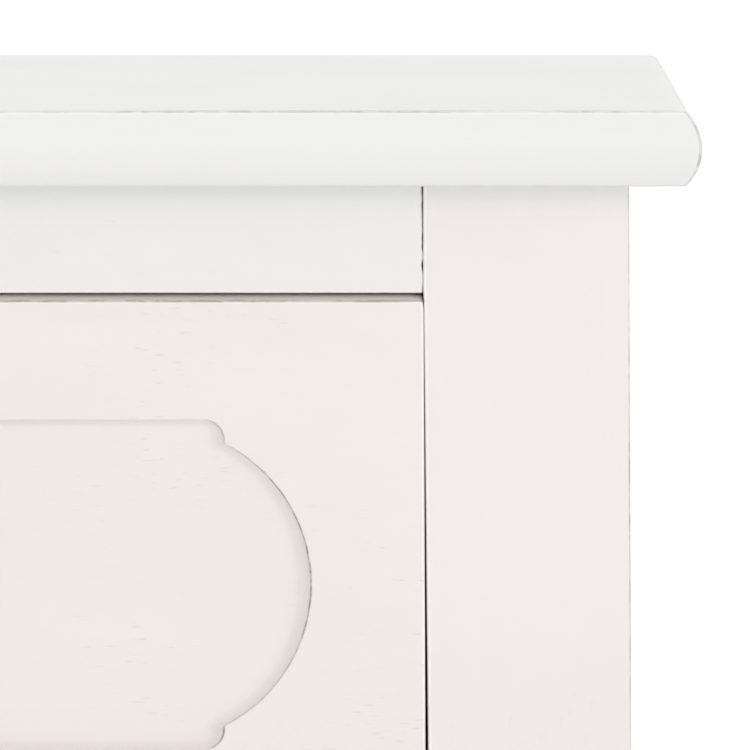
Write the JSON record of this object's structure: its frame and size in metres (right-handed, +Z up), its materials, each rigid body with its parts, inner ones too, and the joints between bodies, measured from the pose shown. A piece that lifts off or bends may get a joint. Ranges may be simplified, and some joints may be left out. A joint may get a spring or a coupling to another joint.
{
  "type": "miniature chest of drawers",
  "caption": "Painted wooden dolls' house chest of drawers with moulded top, square posts, inset drawers with eared sunk panels and small brass knobs; the drawers slide out.",
  "frame": {"origin": "middle of the floor area that the whole chest covers, knobs included, at the underside of the feet", "axes": "+X is the chest's right as a person faces it, +Y points to its back, +Z up; the drawers open towards -Y"},
  "size_m": [0.089, 0.0414, 0.084],
  "materials": {
    "carcass_paint": "neutral white satin paint over fine-grained wood, slightly worn along its edges",
    "post_paint": "white satin paint with a faint pink cast, grain running upright",
    "drawer_paint": "creamy white satin paint with fine horizontal pores",
    "back_wash": "thin white wash, the grain showing through",
    "bare_wood": "bare sanded pale wood",
    "knob_brass": "turned brass, lightly polished"
  },
  "bodies": {
    "carcass": {"top_board": "carcass_paint", "top_rail": "carcass_paint", "upper_divider_rail": "carcass_paint", "lower_divider_rail": "carcass_paint", "bottom_rail": "carcass_paint", "back_panel": "back_wash", "upper_dust_board": "bare_wood", "lower_dust_board": "bare_wood", "bottom_board": "bare_wood", "front_left_post": "post_paint", "rear_left_post": "post_paint", "left_upper_side_rail": "carcass_paint", "left_lower_side_rail": "carcass_paint", "left_side_panel": "carcass_paint", "front_right_post": "post_paint", "rear_right_post": "post_paint", "right_upper_side_rail": "carcass_paint", "right_lower_side_rail": "carcass_paint", "right_side_panel": "carcass_paint", "top_drawer_left_guide": "bare_wood", "top_drawer_right_guide": "bare_wood", "middle_drawer_left_guide": "bare_wood", "middle_drawer_right_guide": "bare_wood", "bottom_drawer_left_guide": "bare_wood", "bottom_drawer_right_guide": "bare_wood"},
    "top_drawer": {"top_drawer_front": "drawer_paint", "top_drawer_left_side": "bare_wood", "top_drawer_right_side": "bare_wood", "top_drawer_back": "bare_wood", "top_drawer_bottom": "bare_wood", "top_drawer_left_knob": "knob_brass", "top_drawer_right_knob": "knob_brass"},
    "middle_drawer": {"middle_drawer_front": "drawer_paint", "middle_drawer_left_side": "bare_wood", "middle_drawer_right_side": "bare_wood", "middle_drawer_back": "bare_wood", "middle_drawer_bottom": "bare_wood", "middle_drawer_left_knob": "knob_brass", "middle_drawer_right_knob": "knob_brass"},
    "bottom_drawer": {"bottom_drawer_front": "drawer_paint", "bottom_drawer_left_side": "bare_wood", "bottom_drawer_right_side": "bare_wood", "bottom_drawer_back": "bare_wood", "bottom_drawer_bottom": "bare_wood", "bottom_drawer_left_knob": "knob_brass", "bottom_drawer_right_knob": "knob_brass"}
  },
  "joints": [
    {"name": "top_drawer_slide", "type": "slide", "parent": "carcass", "child": "top_drawer", "axis": [0, -1, 0], "range_m": [0, 0.026]},
    {"name": "middle_drawer_slide", "type": "slide", "parent": "carcass", "child": "middle_drawer", "axis": [0, -1, 0], "range_m": [0, 0.026]},
    {"name": "bottom_drawer_slide", "type": "slide", "parent": "carcass", "child": "bottom_drawer", "axis": [0, -1, 0], "range_m": [0, 0.026]}
  ]
}
